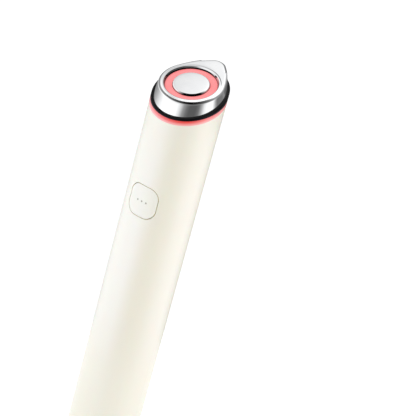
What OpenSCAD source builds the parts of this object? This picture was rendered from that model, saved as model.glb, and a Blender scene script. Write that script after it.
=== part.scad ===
// Portable facial device: a slim round barrel with a flush push button and a slanted metal head.
// Millimetres. +Z runs up the barrel from its foot, -Y is the button side, the origin is on the foot.

/* [Barrel] */
// Outer diameter of the barrel
barrel_d = 22; // [21:0.5:24]
// Wall of the barrel
barrel_wall = 1.3; // [1.1:0.1:1.5]
// Height on the axis where the slanted barrel top lies
barrel_h = 124; // [114:1:150]
// Tilt of the slanted barrel top, in degrees
slant = 22; // [19:0.5:24]
// Rounding of the foot's outer edge
foot_round = 1; // [0.5:0.1:1.2]

/* [Rings under the head] */
// Height of the light ring, along the axis
light_ring_h = 1.45; // [1:0.05:2]
// Depth that the light ring's collar reaches into the barrel, along the axis
collar_depth = 4; // [3:0.25:5]
// Height of the black insulating ring, along the axis
insulator_h = 1.45; // [1.3:0.05:1.7]
// Tilt of the black ring's upper face beyond the slanted barrel top, in degrees
insulator_wedge = 3.5; // [2:0.25:4]
// Width of the black ledge left round the metal skirt
skirt_ledge = 0.7; // [0.6:0.05:1]

/* [Head] */
// Height of the metal head on the axis, from the black ring to the face
head_h = 3.15; // [3:0.05:3.8]
// Tilt of the face, in degrees
face_tilt = 20.5; // [18.5:0.5:23]
// Shift of the face's centre towards the button side
face_shift = 0.9; // [0.6:0.05:1.1]
// Narrowing of the head from its foot to the round part of the face
head_taper = 0.5; // [0.4:0.05:0.65]
// Reach of the beak beyond the round part of the face
beak_out = 4; // [3.2:0.05:4.6]
// Radius of the beak's rounded tip
beak_r = 3.6; // [3:0.1:4.2]
// Radius of the beak's two curved sides
flank_r = 26; // [20:1:60]
// Shift of the round opening towards the button side, from the middle of the face's round part
opening_shift = 0.3; // [0:0.05:0.4]
// Rounding of the face's outer edge
face_round = 0.45; // [0.25:0.05:0.6]
// Thickness of the face wall
face_wall = 1.25; // [1:0.05:1.35]
// Thickness of the metal between the cavity and the round part of the face's edge
skirt_wall = 1.45; // [1.3:0.05:1.6]
// Height of the raised bezel round the ring of light
bezel_h = 0.2; // [0.1:0.05:0.3]

/* [Ring of light and disc] */
// Width of the metal rim between the face's edge and its round opening
rim_w = 2.1; // [1.95:0.05:2.3]
// Depth of the ring of light below the face
light_recess = 0.6; // [0.4:0.05:0.8]
// Width of the ring of light, from the opening to the disc
light_w = 2.28; // [2:0.02:2.6]
// Bevel of the disc's edge
disc_bevel = 0.35; // [0.15:0.05:0.5]

/* [Button] */
// Distance of the button's centre below the slanted top, along the axis
button_drop = 30.4; // [28:0.2:33]
// Width of the button with half its gap on each side
button_w = 9.7; // [8.6:0.1:10.4]
// Height of the button with half its gap on each side
button_h = 9.9; // [8.8:0.1:10.6]
// Corner radius of the button
button_corner = 3.3; // [2:0.1:4]
// Gap between the button and its opening
button_gap = 0.2; // [0.15:0.01:0.25]
// Distance between the middles of two indicator dots
dot_pitch = 1.5; // [1.2:0.1:1.9]
// Diameter of an indicator dot
dot_d = 0.5; // [0.4:0.05:0.7]

/* [Power] */
// Diameter of the battery cell
battery_d = 14; // [12.6:0.1:14.4]
// Diameter of the vibration motor
motor_d = 6; // [5.4:0.1:6.4]
// Length of the vibration motor's case
motor_l = 10.5; // [9:0.25:11.5]

/* [Foot] */
// Thickness of the foot cap's disc
cap_t = 2; // [1.6:0.1:2.4]
// Depth of the foot cap's plug above its disc
plug_h = 5; // [4.4:0.1:5.4]
// Depth of the charging socket's mouth behind the foot
socket_recess = 0.6; // [0.3:0.05:1]

/* [Hidden] */
$fn = 96;

// Finish colours
cream = "#F4F2E6";
button_cream = "#F8F6EC";
dot_grey = "#8F887C";
glow_red = "#F0605A";
glow_pink = "#FF9396";
gloss_black = "#17181A";
polished = "#D9DBDD";
board_green = "#2F6B4A";
moulded_grey = "#8A8D91";

// General values
big = 400;          // larger than the whole object
over = 1;           // how far a cut runs past its piece
past = 5;           // the same, for a cut or a reach through several pieces
eps = 0.01;         // small overlap that keeps a cut clean
fit = 0.02;         // clearance of a press fit or a glued seat
slip = 0.1;         // clearance of a part that slides in once
free = 0.2;         // clearance round parts that never touch

// Barrel and foot
barrel_r = barrel_d / 2;
bore_r = barrel_r - barrel_wall;
key_w = 1.5;
key_depth = 0.7;
key_inset = 3;      // from each end of the inner frame
seal_d = 0.9;       // thickness of the foot cap's round seal
seal_squeeze = 0.02;
plug_wall = 1.4;
hook_t = 1;
hook_w = 4;
hook_rise = 5;      // of a snap arm above the plug
barb_h = 1.2;
barb_out = 0.8;
barb_flat = 0.2;    // of the barb's catching face

// Slanted stack, heights on the barrel's axis
collar_z = barrel_h - collar_depth;
light_top = barrel_h + light_ring_h;
skirt_z = light_top + insulator_h;
face_axis_z = skirt_z + head_h;
face_z = face_axis_z - face_shift * tan(face_tilt);
skirt_slant = slant + insulator_wedge;

// Head, radii
skirt_r = barrel_r - skirt_ledge;
face_r = skirt_r - head_taper;
beak_reach = face_r + beak_out;     // from the middle of the face's round part
opening_r = face_r - rim_w;
disc_r = opening_r - light_w;
cavity_r = face_r - skirt_wall;
cavity_step = 0.25; // of the black ring's bore outside the cavity, and of the light guide inside it
insulator_bore_r = cavity_r + cavity_step;
guide_flange_r = cavity_r - cavity_step;
platform_r = cavity_r - 0.15;
collar_lap = 0.75;  // of the light ring's collar inside the cavity's radius
collar_bore_r = cavity_r - collar_lap;
neck_r = collar_bore_r - free;
neck_wall = 1.2;
neck_bore_r = neck_r - neck_wall;
bezel_w = 1.15;
bezel_lip = 0.18;   // width of the bezel's inner chamfer
bezel_fall = 0.4;   // width of the bezel's outer slope
bezel_sink = 0.05;  // of that slope's foot below the face
hull_fn = 64;
skin = 0.02;        // thin slice that a blended solid starts from

// Arcs of the face's outline: round part, two flanks and tip
beak_y = beak_reach - beak_r;       // of the tip's centre from the round part's
flank_in = flank_r - face_r;        // from a flank's centre to the round part's
flank_y = (pow(flank_in, 2) - pow(flank_r - beak_r, 2) + pow(beak_y, 2)) / (2 * beak_y);
flank_x = sqrt(pow(flank_in, 2) - pow(flank_y, 2));
flank_start = atan2(-flank_y, flank_x);
flank_end = atan2(beak_y - flank_y, flank_x);

// Head, depths below the face
guide_flange_t = 0.55;
guide_bottom = face_wall + fit + guide_flange_t;
disc_bottom = guide_bottom + 0.08;
led_h = 0.6;
led_air = 0.1;      // between a light and what covers it
board_t = 0.8;      // of the two round boards
face_board_top = disc_bottom + led_h;
face_board_bottom = face_board_top + board_t;
platform_top = face_board_bottom + 0.05;
platform_t = 1.25;
pedestal_r = disc_r - 1.5;
stem_r = 1.5;
stem_bottom = platform_top + platform_t + 1.7;
tab_w = 2.4;        // contact tab inside the metal head
tab_in = 0.6;       // of its root in the wall

// Lights
led_w = 1.6;
led_d = 0.8;
face_led_count = 8;
ring_led_count = 8;
face_led_r = (disc_r + opening_r) / 2;
ring_board_in = neck_r + free;
ring_board_out = bore_r - free;
ring_led_r = (ring_board_in + ring_board_out) / 2;

// Button stack, distances from the barrel's axis towards the front
button_z = barrel_h - button_drop;
opening_w = button_w + button_gap;
opening_h = button_h + button_gap;
opening_corner = button_corner + button_gap / 2;
button_travel = 0.3;
pad_t = 0.28;       // of the soft seal behind the opening
flange_out_r = bore_r - pad_t - free;
flange_t = 0.8;
flange_in_r = flange_out_r - flange_t;
flange_lap = 0.8;   // of the flange behind the barrel wall
seal_lap = 0.95;    // of the soft seal behind it
cap_skin = 1.2;
cap_side = 1;
post_r = 1.6;
post_end = flange_in_r - 0.6;
press_gap = fit;    // the switch's plunger rests against the button's post
plunger_r = 1.2;
plunger_out = 0.7;
plunger_in = 0.5;
plunger_end = 0.15; // of the switch's bore past the pressed plunger
switch_w = 5.2;
switch_h = 1.6;
plunger_front = post_end - press_gap;
switch_front = plunger_front - plunger_out;
board_front = switch_front - switch_h;
main_t = 1;
board_back = board_front - main_t;
board_side_gap = 0.35;
board_corner = 1.5;
board_edge = sqrt(pow(bore_r - board_side_gap, 2) - pow(board_front, 2));
dot_depth = 0.8;

// Inner frame
frame_gap = 0.25;
frame_r = bore_r - frame_gap;
frame_wall = 1.25;
frame_in_r = frame_r - frame_wall;
hook_x = sqrt(pow(frame_in_r - slip, 2) - pow(hook_w / 2, 2)) - hook_t;  // inner face of a snap arm
battery_r = battery_d / 2;
plug_gap = 0.3;     // between the foot cap's plug and the frame
frame_z0 = cap_t + plug_h + plug_gap;
usb_bay_h = 9.7;
bulkhead_t = 1.5;
tab_room = 1;       // below the battery
tab_t = 0.25;
pad_h = 1.1;
low_bulkhead_z = frame_z0 + usb_bay_h;
head_room = 13;     // from the top bulkhead to the slanted top, along the axis
top_bulkhead_z = barrel_h - head_room;
frame_z1 = top_bulkhead_z + bulkhead_t;
board_end_gap = 0.9;
board_z1 = top_bulkhead_z - board_end_gap;
board_below = 20.55;    // of the main board below the button's centre
board_z0 = button_z - board_below;
mid_bulkhead_z = board_z0 - 0.5 - bulkhead_t;
battery_z0 = low_bulkhead_z + bulkhead_t + tab_room;
battery_z1 = mid_bulkhead_z - free - pad_h - tab_t;
battery_l = battery_z1 - battery_z0;
battery_rim = 2;    // front edge of the frame beside the battery
rib_t = 1.2;
cross_t = 3;
low_cross_rise = 2.5;   // above the main board's lower end
high_cross_drop = 10.5; // below the button's centre
low_cross_z = board_z0 + low_cross_rise;
high_cross_z = button_z - high_cross_drop;
clip_share = [0.12, 0.5, 0.88];
window_w = 7;
window_l = 14;
window_r = 2;
snap_side = 0.3;    // room beside a snap arm's barb
snap_low = 0.15;    // room below it
carrier_z = frame_z1 + 0.05;

// Screws
screw_r = 0.75;
screw_head_r = 1.4;
screw_head_h = 1;
pilot_r = screw_r + fit;
pilot_end = 0.5;    // of a pilot hole past its screw
clear_r = screw_r + 0.15;
boss_r = 1.6;
head_screw_x = neck_bore_r - 1.5;
head_screw_l = 5;
board_screw_x = 4.9;
board_screw_l = 4;

// Contact pins
pin_sleeve_r = 0.8;
pin_r = 0.45;
pin_drop = 0.4;     // of the sleeve below the top bulkhead
pin_sleeve_l = 6;
pin_side = 0.3;     // between the outer pin's sleeve and the neck
contact_gap = 0.05; // between a pin's tip and what it feeds
outer_pin_y = pin_sleeve_r + pin_side - neck_bore_r;
inner_pin_y = stem_bottom * sin(face_tilt) - face_shift;
tab_pin_v = (outer_pin_y + face_shift - face_board_bottom * sin(face_tilt)) / cos(face_tilt);
tab_end = tab_pin_v + pin_r + 0.15;     // inner end of the tab, along the face
tab_root = -cavity_r - tab_in;

// Motor
motor_r = motor_d / 2;
boot_t = 0.65;
boot_end = 1;       // of the motor's case left bare at each end
motor_y = 2.4;
shaft_r = 0.5;
shaft_gap = 0.05;
shaft_in = 6;
shaft_stub = 0.4;   // of the shaft above the weight
weight_r = 2.6;
weight_hub = 0.7;   // wall of the weight's hub
weight_t = 3.4;
weight_gap = 0.6;
weight_clear = 1.1; // between the shaft's end and the screw heads
weight_z = top_bulkhead_z - screw_head_h - weight_clear - shaft_stub - weight_t;
motor_z = weight_z - weight_gap - motor_l;
cradle_t = 2;
cradle_z = [1.5, motor_l - 3.5];    // of the two cradle walls above the motor's lower end

// Charging socket, sizes of the standard inlet
socket_w = 8.94;
socket_h = 3.26;
socket_l = 7.35;
socket_wall = 0.3;
tongue_w = 6.69;
tongue_t = 0.7;
tongue_in = 1;
tongue_l = 4.45;
slot_gap = 0.13;
usb_board_half = hook_x - 0.55;
usb_board_t = 1;
usb_board_z0 = cap_t + 0.6;
usb_board_z1 = low_bulkhead_z - 0.4;
rail_lap = 0.9;

// Link ribbon between the two boards
ribbon_w = 5;
ribbon_t = 0.2;
ribbon_y = battery_r + 0.5;
ribbon_tail = 3;    // along the charging board
ribbon_bend = 2;    // height of its slope between the battery's front and the main board
ribbon_join = 4.5;  // along the main board
strip_w = 4;        // of a battery tab

// Electronic parts: width, height and thickness
controller = [4.4, 4.4, 0.8];
driver = [3, 3, 0.75];
capacitor = [2, 1.25, 0.6];
inductor = [5, 5, 2.4];
connector = [1.6, 3, 0.9];
controller_x = 0.5;
controller_drop = 2;    // below the high cross wall's foot
driver_drop = 6.5;      // below the main board's upper end
capacitor_x = 4.6;
capacitor_drop = 4;     // below the main board's upper end
inductor_drop = 3.9;    // below the button's centre
connector_x = 4.7;
charger_drop = 5;       // below the charging board's upper end

// Places its children on the face: their origin is the face's centre, their +Z its outward normal.
module at_face(depth = 0) {
    translate([0, -face_shift, face_z]) rotate([face_tilt, 0, 0]) translate([0, 0, -depth]) children();
}

// Places its children on the slanted plane that crosses the barrel's axis at the given height.
module at_slant(height) {
    translate([0, 0, height]) rotate([slant, 0, 0]) children();
}

// The same for the steeper plane that carries the metal head.
module at_skirt() {
    translate([0, 0, skirt_z]) rotate([skirt_slant, 0, 0]) children();
}

module above_slant(height) {
    at_slant(height) translate([-big / 2, -big / 2, 0]) cube(big);
}

module above_skirt() {
    at_skirt() translate([-big / 2, -big / 2, 0]) cube(big);
}

module above_face(depth) {
    at_face(depth) translate([-big / 2, -big / 2, 0]) cube(big);
}

// Upright cylinder cut off by two parallel slanted planes
module slanted_band(r, low, high) {
    reach = r * tan(slant) + over;
    intersection() {
        translate([0, 0, low - reach]) cylinder(r = r, h = high - low + 2 * reach);
        at_slant(low) translate([-big / 2, -big / 2, 0]) cube([big, big, (high - low) * cos(slant)]);
    }
}

module slanted_ring(outer, inner, low, high) {
    difference() {
        slanted_band(outer, low, high);
        cylinder(r = inner, h = big);
    }
}

// Slice of the head's skirt ellipse, which is a true circle seen from above
module skirt_slice(r, h) {
    at_skirt() linear_extrude(h) scale([1, 1 / cos(skirt_slant)]) circle(r = r, $fn = hull_fn);
}

// Flat tube or washer along the axis
module tube(outer, inner, low, high) {
    difference() {
        translate([0, 0, low]) cylinder(r = outer, h = high - low);
        translate([0, 0, low - over]) cylinder(r = inner, h = high - low + 2 * over);
    }
}

module rounded_rect(w, h, r) {
    square([w - 2 * r, h], center = true);
    square([w, h - 2 * r], center = true);
    for (x = [-1, 1], y = [-1, 1]) translate([x * (w / 2 - r), y * (h / 2 - r)]) circle(r = r);
}

// Prism of a rounded rectangle that runs from the axis out through the front wall at the button
module front_prism(w, h, r) {
    translate([0, 0, button_z]) rotate([90, 0, 0]) linear_extrude(barrel_r + past) rounded_rect(w, h, r);
}

// Curved slab between two radii
module shell_slab(outer, inner) {
    tube(outer, inner, button_z - button_h, button_z + button_h);
}

// Round bar that runs from one distance in front of the axis to another
module front_bar(r, near, far) {
    translate([0, -near, 0]) rotate([90, 0, 0]) cylinder(r = r, h = far - near);
}

// The same bar on the button's axis, or beside it
module button_bar(r, near, far, x = 0) {
    translate([x, 0, button_z]) front_bar(r, near, far);
}

// Section of the barrel outside, with the rounded foot edge
module barrel_section() {
    translate([0, foot_round]) square([barrel_r, barrel_h + barrel_r]);
    square([barrel_r - foot_round, foot_round + eps]);
    translate([barrel_r - foot_round, foot_round]) circle(r = foot_round);
}

module barrel() color(cream) {
    difference() {
        rotate_extrude() barrel_section();
        translate([0, 0, -over]) cylinder(r = bore_r, h = big);
        above_slant(barrel_h);
        front_prism(opening_w, opening_h, opening_corner);
    }
    key_z = frame_z0 + key_inset;
    translate([-key_w / 2, bore_r - key_depth, key_z])
        cube([key_w, key_depth + barrel_wall / 2, frame_z1 - key_inset - key_z]);
}

module bottom_cap() color(cream) {
    plug_r = bore_r - slip;
    groove_z = cap_t + plug_h / 2;
    groove_r = bore_r - seal_squeeze - seal_d;
    difference() {
        union() {
            cylinder(r = plug_r, h = cap_t);
            difference() {
                tube(plug_r, plug_r - plug_wall, cap_t - eps, cap_t + plug_h);
                tube(plug_r + over, groove_r, groove_z - seal_d / 2 - fit, groove_z + seal_d / 2 + fit);
            }
            for (side = [0, 180]) rotate([0, 0, side]) snap_arm();
        }
        translate([0, 0, -over]) linear_extrude(cap_t + 2 * over)
            rounded_rect(socket_w + 2 * slot_gap, socket_h + 2 * slot_gap, socket_h / 2 + slot_gap - eps);
    }
}

// Springy arm that clicks into a window of the inner frame
module snap_arm() {
    top = cap_t + plug_h + hook_rise;
    translate([hook_x, -hook_w / 2, cap_t - eps]) cube([hook_t, hook_w, top - cap_t + eps]);
    translate([hook_x + hook_t, hook_w / 2, top - barb_h]) rotate([90, 0, 0])
        linear_extrude(hook_w) polygon([[-eps, 0], [barb_out, 0], [barb_out, barb_flat], [-eps, barb_h]]);
}

module cap_seal() color(gloss_black) {
    translate([0, 0, cap_t + plug_h / 2]) rotate_extrude()
        translate([bore_r - seal_squeeze - seal_d / 2, 0]) circle(r = seal_d / 2);
}

module light_ring() color(glow_red) difference() {
    union() {
        slanted_band(barrel_r, barrel_h, light_top);
        slanted_band(bore_r - slip, collar_z, light_top);
    }
    cylinder(r = collar_bore_r, h = big);
    for (i = [0 : ring_led_count - 1])
        at_ring_led(i) translate([0, 0, -over]) led_block(free, led_h + led_air + over);
}

// Wedge between two slanted planes, thickest under the beak
module insulator_ring() color(gloss_black) difference() {
    slanted_ring(barrel_r, insulator_bore_r, light_top, skirt_z + past);
    above_skirt();
}

function arc(middle, r, start, end, steps) = [
    for (i = [0 : steps]) let (turn = start + (end - start) * i / steps)
        [middle.x + r * cos(turn), middle.y + r * sin(turn)]
];

// Outline of the face: a round part, two long curved flanks and the beak's rounded tip
module face_outline(inset) translate([0, opening_shift])
    polygon(concat(
        arc([0, 0], face_r - inset, 180 - flank_start, 360 + flank_start, hull_fn / 2),
        arc([-flank_x, flank_y], flank_r - inset, flank_start, flank_end, hull_fn / 8),
        arc([0, beak_y], beak_r - inset, flank_end, 180 - flank_end, hull_fn / 4),
        arc([flank_x, flank_y], flank_r - inset, 180 - flank_end, 180 - flank_start, hull_fn / 8)
    ));

// Section of the raised bezel that frames the ring of light
module bezel_section() {
    outer = opening_r + bezel_w;
    polygon([
        [opening_r, -face_wall / 2], [opening_r, bezel_h / 2], [opening_r + bezel_lip, bezel_h],
        [outer - bezel_fall, bezel_h], [outer, -bezel_sink], [outer, -face_wall / 2]
    ]);
}

module outer_electrode() color(polished) {
    difference() {
        union() {
            hull() {
                skirt_slice(skirt_r, skin);
                for (turn = [0 : 30 : 90])
                    at_face(face_round * (1 - sin(turn)) + skin) linear_extrude(skin)
                        face_outline(face_round * (1 - cos(turn)));
            }
            at_face() rotate_extrude() bezel_section();
        }
        at_face(head_h + past) cylinder(r = cavity_r, h = head_h + past - face_wall);
        // room for the carrier's neck under a taller head
        difference() {
            translate([0, 0, carrier_z - fit]) cylinder(r = neck_r + fit, h = big);
            above_face(platform_top);
        }
        at_face(face_wall + over) cylinder(r = opening_r, h = face_wall + 3 * over);
    }
    at_face(face_board_bottom) translate([-tab_w / 2, tab_root, 0])
        cube([tab_w, tab_end - tab_root, board_t]);
}

module face_light_guide() color(glow_pink) at_face(guide_bottom) difference() {
    union() {
        cylinder(r = opening_r - slip / 2, h = guide_bottom - light_recess);
        cylinder(r = guide_flange_r, h = guide_flange_t);
    }
    translate([0, 0, -over]) cylinder(r = disc_r + slip / 2, h = guide_bottom + 2 * over);
}

module inner_electrode() color(polished) {
    at_face(disc_bottom) rotate_extrude() polygon([
        [0, 0], [disc_r, 0], [disc_r, disc_bottom - disc_bevel],
        [disc_r - disc_bevel, disc_bottom], [0, disc_bottom]
    ]);
    at_face(stem_bottom) cylinder(r = stem_r, h = stem_bottom - disc_bottom + eps);
}

module head_carrier() color(moulded_grey) {
    difference() {
        union() {
            intersection() {
                at_face(platform_top + head_h + past) cylinder(r = platform_r, h = head_h + past);
                above_slant(light_top + fit);
                translate([0, 0, carrier_z]) cylinder(r = insulator_bore_r - free, h = big);
            }
            difference() {
                translate([0, 0, carrier_z]) cylinder(r = neck_r, h = big);
                above_face(platform_top + platform_t / 2);
            }
            at_face(platform_top + eps) cylinder(r = pedestal_r, h = platform_top - disc_bottom - fit);
        }
        difference() {
            translate([0, 0, carrier_z - over]) cylinder(r = neck_bore_r, h = big);
            above_face(platform_top + platform_t);
            for (x = [-1, 1]) translate([x * head_screw_x, 0, 0])
                cylinder(r = boss_r, h = carrier_z + head_screw_l + over);
        }
        at_face(stem_bottom + past) cylinder(r = stem_r + fit, h = stem_bottom + past);
        translate([0, outer_pin_y, carrier_z]) cylinder(r = pin_r + free, h = big);
        for (x = [-1, 1]) translate([x * head_screw_x, 0, carrier_z - over])
            cylinder(r = pilot_r, h = head_screw_l + pilot_end);
    }
}

module led_block(gap, h) {
    translate([-led_w / 2 - gap, -led_d / 2 - gap, 0]) cube([led_w + 2 * gap, led_d + 2 * gap, h]);
}

// Seat of one face light, in the middle of the ring of light and clear of the contact tab
module at_face_led(i) {
    rotate([0, 0, 360 / face_led_count * (i + 0.5)]) translate([face_led_r, 0, 0]) rotate([0, 0, 90])
        children();
}

// Seat of one ring light on the slanted ring board's upper face
module at_ring_led(i) {
    turn = 360 / ring_led_count * (i + 0.5);
    at_slant(collar_z) translate([ring_led_r * cos(turn), ring_led_r * sin(turn) / cos(slant), 0])
        rotate([0, 0, turn + 90]) children();
}

module face_board() color(board_green) at_face(face_board_bottom) difference() {
    cylinder(r = guide_flange_r, h = board_t);
    translate([0, 0, -over]) cylinder(r = pedestal_r + slip, h = board_t + 2 * over);
    translate([-tab_w / 2 - free, tab_root, -over])
        cube([tab_w + 2 * free, tab_end + free - tab_root, board_t + 2 * over]);
}

module face_leds() color("white") at_face(face_board_top)
    for (i = [0 : face_led_count - 1]) at_face_led(i) led_block(0, led_h - led_air);

module ring_board() color(board_green)
    slanted_ring(ring_board_out, ring_board_in, collar_z - board_t, collar_z);

module ring_leds() color("white")
    for (i = [0 : ring_led_count - 1]) at_ring_led(i) led_block(0, led_h);

module contact_pins() color("goldenrod") {
    foot = top_bulkhead_z - pin_drop;
    disc_pin_top = face_z - stem_bottom * cos(face_tilt) - pin_r * tan(face_tilt) - contact_gap;
    tab_pin_top = face_axis_z + outer_pin_y * tan(face_tilt)
        - face_board_bottom / cos(face_tilt) - pin_r * tan(face_tilt) - contact_gap;
    for (pin = [[inner_pin_y, disc_pin_top], [outer_pin_y, tab_pin_top]]) translate([0, pin[0], foot]) {
        cylinder(r = pin_sleeve_r, h = pin_sleeve_l);
        cylinder(r = pin_r, h = pin[1] - foot);
    }
}

module half_pipe(low, high, rim) {
    difference() {
        tube(frame_r, frame_in_r, low, high);
        translate([-big / 2, -big - rim, low - over]) cube([big, big, high - low + 2 * over]);
    }
}

// Wall across the inside of the half pipe, open to the front beyond the rim
module cross_wall(low, high, rim) {
    difference() {
        translate([0, 0, low]) cylinder(r = frame_in_r + eps, h = high - low);
        translate([-big / 2, -big - rim, low - over]) cube([big, big, high - low + 2 * over]);
    }
}

module frame_body() {
    board_rim = board_back;
    half_pipe(frame_z0, mid_bulkhead_z + eps, battery_rim);
    half_pipe(mid_bulkhead_z, frame_z1, board_rim);
    cross_wall(low_bulkhead_z, low_bulkhead_z + bulkhead_t, battery_rim);
    cross_wall(mid_bulkhead_z, mid_bulkhead_z + bulkhead_t, board_rim);
    for (z = [low_cross_z, high_cross_z]) cross_wall(z, z + cross_t, board_rim);
    translate([0, 0, top_bulkhead_z]) cylinder(r = frame_r, h = bulkhead_t);
    for (share = clip_share) difference() {
        z = battery_z0 + share * battery_l - rib_t / 2;
        cross_wall(z, z + rib_t, battery_rim);
        translate([0, 0, z - over]) cylinder(r = battery_r + slip, h = rib_t + 2 * over);
    }
    for (rise = cradle_z) difference() {
        z = motor_z + rise;
        cross_wall(z, z + cradle_t, -motor_y);
        translate([0, motor_y, z - over])
            cylinder(r = motor_r + boot_t + 2 * fit, h = cradle_t + 2 * over);
    }
    usb_rails();
}

// Two grooved rails that hold the charging board's sides
module usb_rails() {
    low = cap_t + plug_h + hook_rise + pilot_end;
    difference() {
        intersection() {
            translate([-big / 2, socket_h / 2 - rail_lap, low])
                cube([big, usb_board_t + 2 * rail_lap, low_bulkhead_z - low + eps]);
            cylinder(r = frame_in_r + eps, h = big);
        }
        translate([-usb_board_half + rail_lap, -big / 2, low - over])
            cube([2 * (usb_board_half - rail_lap), big, low_bulkhead_z - low + over]);
        translate([-usb_board_half - slip, socket_h / 2 - slip / 2, low - over])
            cube([2 * (usb_board_half + slip), usb_board_t + slip, low_bulkhead_z - low + over]);
    }
}

module inner_frame() color(moulded_grey) difference() {
    frame_body();
    translate([-key_w / 2 - free, bore_r - key_depth - free, 0])
        cube([key_w + 2 * free, barrel_r, frame_z1 + over]);
    for (gap = [0, 1]) translate([0, 0, battery_z0 + battery_l * (clip_share[gap] + clip_share[gap + 1]) / 2])
        rotate([-90, 0, 0]) linear_extrude(barrel_r) rounded_rect(window_w, window_l, window_r);
    snap_z = cap_t + plug_h + hook_rise - barb_h;
    translate([-barrel_r, -hook_w / 2 - snap_side, snap_z - snap_low])
        cube([barrel_d, hook_w + 2 * snap_side, barb_h + snap_low + snap_side]);
    for (x = [-1, 1]) translate([x * head_screw_x, 0, top_bulkhead_z - over])
        cylinder(r = clear_r, h = bulkhead_t + 2 * over);
    for (y = [inner_pin_y, outer_pin_y]) translate([0, y, top_bulkhead_z - over])
        cylinder(r = pin_sleeve_r + fit, h = bulkhead_t + 2 * over);
    at_board_screws() front_bar(pilot_r, board_back - board_screw_l, board_back + over);
}

// Places its children at the two board screws, one on each side
module at_board_screws() {
    translate([board_screw_x, 0, low_cross_z + cross_t / 2]) children();
    translate([-board_screw_x, 0, high_cross_z + cross_t / 2]) children();
}

module head_screws() color("silver") for (x = [-1, 1]) translate([x * head_screw_x, 0, 0]) {
    translate([0, 0, top_bulkhead_z - screw_head_h]) cylinder(r = screw_head_r, h = screw_head_h);
    translate([0, 0, top_bulkhead_z - eps]) cylinder(r = screw_r, h = head_screw_l);
}

module main_board() color(board_green) difference() {
    middle = (board_z0 + board_z1) / 2;
    translate([0, -board_back, middle]) rotate([90, 0, 0]) linear_extrude(main_t)
        rounded_rect(2 * board_edge, board_z1 - board_z0, board_corner);
    at_board_screws() front_bar(clear_r, board_back - over, board_front + over);
}

// Flat electronic part on the front or the back of the main board
module chip(x, z, size, front = true) {
    y = front ? -board_front - size.z : -board_back;
    translate([x - size.x / 2, y, z - size.y / 2]) cube([size.x, size.z, size.y]);
}

module board_chips() color("#2B2C2E") {
    chip(controller_x, high_cross_z - controller_drop, controller);
    chip(0, board_z1 - driver_drop, driver);
    for (side = [-1, 1]) chip(side * capacitor_x, board_z1 - capacitor_drop, capacitor);
    chip(0, button_z - inductor_drop, inductor, front = false);
    chip(connector_x, button_z - inductor_drop, connector, front = false);
    translate([-driver.x / 2, socket_h / 2 + usb_board_t, usb_board_z1 - charger_drop])
        cube([driver.x, driver.z, driver.y]);
}

module board_screws() color("silver") at_board_screws() {
    front_bar(screw_head_r, board_front, board_front + screw_head_h);
    front_bar(screw_r, board_front - board_screw_l, board_front + eps);
}

module switch_body() color("#3A3B3D") difference() {
    translate([-switch_w / 2, -switch_front, button_z - switch_w / 2])
        cube([switch_w, switch_h, switch_w]);
    button_bar(plunger_r + slip, switch_front - plunger_in - button_travel - plunger_end,
        switch_front + over);
}

module switch_plunger() color("#E8E4DA")
    button_bar(plunger_r, switch_front - plunger_in, plunger_front);

module button_cap() color(button_cream) difference() {
    cap_w = button_w - button_gap;
    cap_h = button_h - button_gap;
    union() {
        intersection() {
            front_prism(cap_w, cap_h, button_corner - button_gap / 2);
            shell_slab(barrel_r, flange_in_r);
        }
        intersection() {
            front_prism(opening_w + 2 * flange_lap, opening_h + 2 * flange_lap,
                opening_corner + flange_lap);
            shell_slab(flange_out_r, flange_in_r);
        }
        button_bar(post_r, post_end, barrel_r - cap_skin);
    }
    difference() {
        intersection() {
            front_prism(cap_w - 2 * cap_side, cap_h - 2 * cap_side,
                button_corner - button_gap / 2 - cap_side);
            shell_slab(barrel_r - cap_skin, over);
        }
        button_bar(post_r, 0, barrel_r);
    }
    for (i = [-1 : 1])
        button_bar(dot_d / 2 + eps, barrel_r - dot_depth, barrel_r + over, i * dot_pitch);
}

module indicator_dots() color(dot_grey) intersection() {
    union() for (i = [-1 : 1])
        button_bar(dot_d / 2, barrel_r - dot_depth + fit, barrel_r + over, i * dot_pitch);
    shell_slab(barrel_r, over);
}

module button_seal() color("#55585C") intersection() {
    difference() {
        front_prism(opening_w + 2 * seal_lap, opening_h + 2 * seal_lap, opening_corner + seal_lap);
        front_prism(opening_w + slip, opening_h + slip, opening_corner + slip / 2);
    }
    shell_slab(bore_r - fit, bore_r - pad_t);
}

module motor_case() color("silver") translate([0, motor_y, motor_z]) difference() {
    cylinder(r = motor_r, h = motor_l);
    translate([0, 0, motor_l - shaft_in - free]) cylinder(r = shaft_r + shaft_gap, h = shaft_in + over);
}

module motor_boot() color("#303236") translate([0, motor_y, 0])
    tube(motor_r + fit + boot_t, motor_r + fit, motor_z + boot_end, motor_z + motor_l - boot_end);

module motor_shaft() color("gainsboro") translate([0, motor_y, motor_z + motor_l - shaft_in])
    cylinder(r = shaft_r, h = shaft_in + weight_gap + weight_t + shaft_stub);

module motor_weight() color("dimgray") translate([0, motor_y, weight_z]) difference() {
    union() {
        cylinder(r = shaft_r + weight_hub, h = weight_t);
        intersection() {
            cylinder(r = weight_r, h = weight_t);
            translate([-big / 2, 0, -over]) cube([big, big, weight_t + 2 * over]);
        }
    }
    translate([0, 0, -over]) cylinder(r = shaft_r, h = weight_t + 2 * over);
}

module battery_cell() color("#3E6FB0") {
    translate([0, 0, battery_z0]) cylinder(r = battery_r, h = battery_l);
}

module battery_tabs() color("silver") {
    front = ribbon_y - ribbon_t;
    for (z = [battery_z0 - tab_t, battery_z1])
        translate([-strip_w / 2, -front, z]) cube([strip_w, front + strip_w / 2, tab_t]);
}

module battery_pad() color("#4A4C50") {
    translate([0, 0, battery_z1 + tab_t + contact_gap]) cylinder(r = battery_r - over, h = pad_h);
}

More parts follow.
